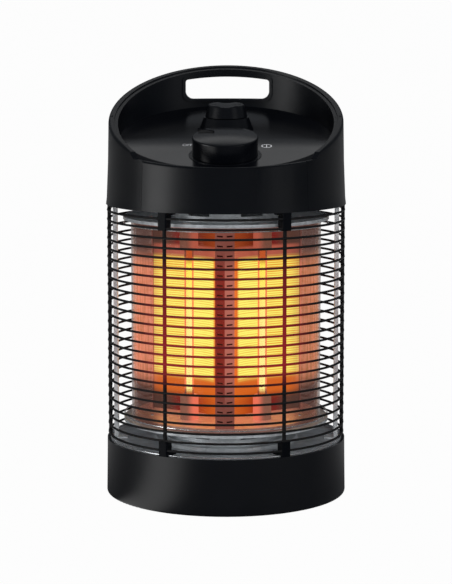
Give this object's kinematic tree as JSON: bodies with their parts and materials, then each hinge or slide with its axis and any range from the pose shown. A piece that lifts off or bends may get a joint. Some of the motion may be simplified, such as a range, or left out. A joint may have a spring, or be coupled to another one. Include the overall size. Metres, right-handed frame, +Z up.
{
  "type": "tabletop patio heater",
  "caption": "Round tabletop patio heater with a lit core in tinted glass, a black wire guard, a galvanised carcass and a sloping top with a control knob and hand-hold.",
  "frame": {"origin": "on the axis of the round body, on the surface that the feet stand on", "axes": "+Z up, front with the control knob towards -Y, +X to the right seen from the front"},
  "size_m": [0.2582, 0.2582, 0.457],
  "materials": {
    "black_plastic": "satin moulded",
    "deck_plastic": "satin gloss moulded",
    "knob_plastic": "satin moulded",
    "clip_plastic": "matte moulded",
    "switch_plastic": "moulded",
    "foot_rubber": "matte",
    "galvanised_steel": "galvanised sheet",
    "screw_steel": "zinc plated",
    "black_wire": "powder coated",
    "tinted_glass": "ruby tinted",
    "quartz_glass": "clear, lit",
    "carbon": "glowing carbon strip",
    "ceramic": "fired white",
    "reflector_aluminium": "bright rolled",
    "shaft_brass": "turned"
  },
  "bodies": {
    "heater": {"base_housing": "black_plastic", "base_tray": "galvanised_steel", "bottom_plate": "black_plastic", "bottom_screws": "screw_steel", "cap_floor": "galvanised_steel", "carbon_strip_1": "carbon", "carbon_strip_2": "carbon", "carbon_strip_3": "carbon", "control_deck": "deck_plastic", "cord_gland": "black_plastic", "corner_strip_1": "reflector_aluminium", "corner_strip_2": "reflector_aluminium", "corner_strip_3": "reflector_aluminium", "front_cover": "black_plastic", "glass_tube": "tinted_glass", "guard_rings": "black_wire", "guard_uprights": "black_wire", "hanger_boss": "knob_plastic", "knob_ring": "knob_plastic", "lamp_tube_1": "quartz_glass", "lamp_tube_2": "quartz_glass", "lamp_tube_3": "quartz_glass", "left_post": "galvanised_steel", "left_side_shell": "black_plastic", "lower_clips": "clip_plastic", "lower_collar": "galvanised_steel", "lower_holder_1": "ceramic", "lower_holder_2": "ceramic", "lower_holder_3": "ceramic", "lower_plate": "galvanised_steel", "rear_cowl": "black_plastic", "reflector_panel_1": "reflector_aluminium", "reflector_panel_2": "reflector_aluminium", "reflector_panel_3": "reflector_aluminium", "right_post": "galvanised_steel", "right_side_shell": "black_plastic", "rotary_switch": "switch_plastic", "rubber_feet": "foot_rubber", "terminal_block": "switch_plastic", "thermal_cutout": "switch_plastic", "tilt_switch": "switch_plastic", "tray_screws": "screw_steel", "upper_clips": "clip_plastic", "upper_collar": "galvanised_steel", "upper_holder_1": "ceramic", "upper_holder_2": "ceramic", "upper_holder_3": "ceramic", "upper_plate": "galvanised_steel"},
    "knob": {"control_knob": "knob_plastic", "switch_shaft": "shaft_brass"},
    "boss_cap": {"hanger_cap": "knob_plastic"}
  },
  "joints": [
    {"name": "knob_turn", "type": "hinge", "parent": "heater", "child": "knob", "pos_m": [0, -0.066, 0.369], "axis": [0, -0.2425, 0.9701], "range_deg": [-120, 0]},
    {"name": "boss_cap_turn", "type": "hinge", "parent": "heater", "child": "boss_cap", "pos_m": [0, 0.024, 0.3915], "axis": [0, -0.0958, 0.9954], "continuous": true}
  ]
}
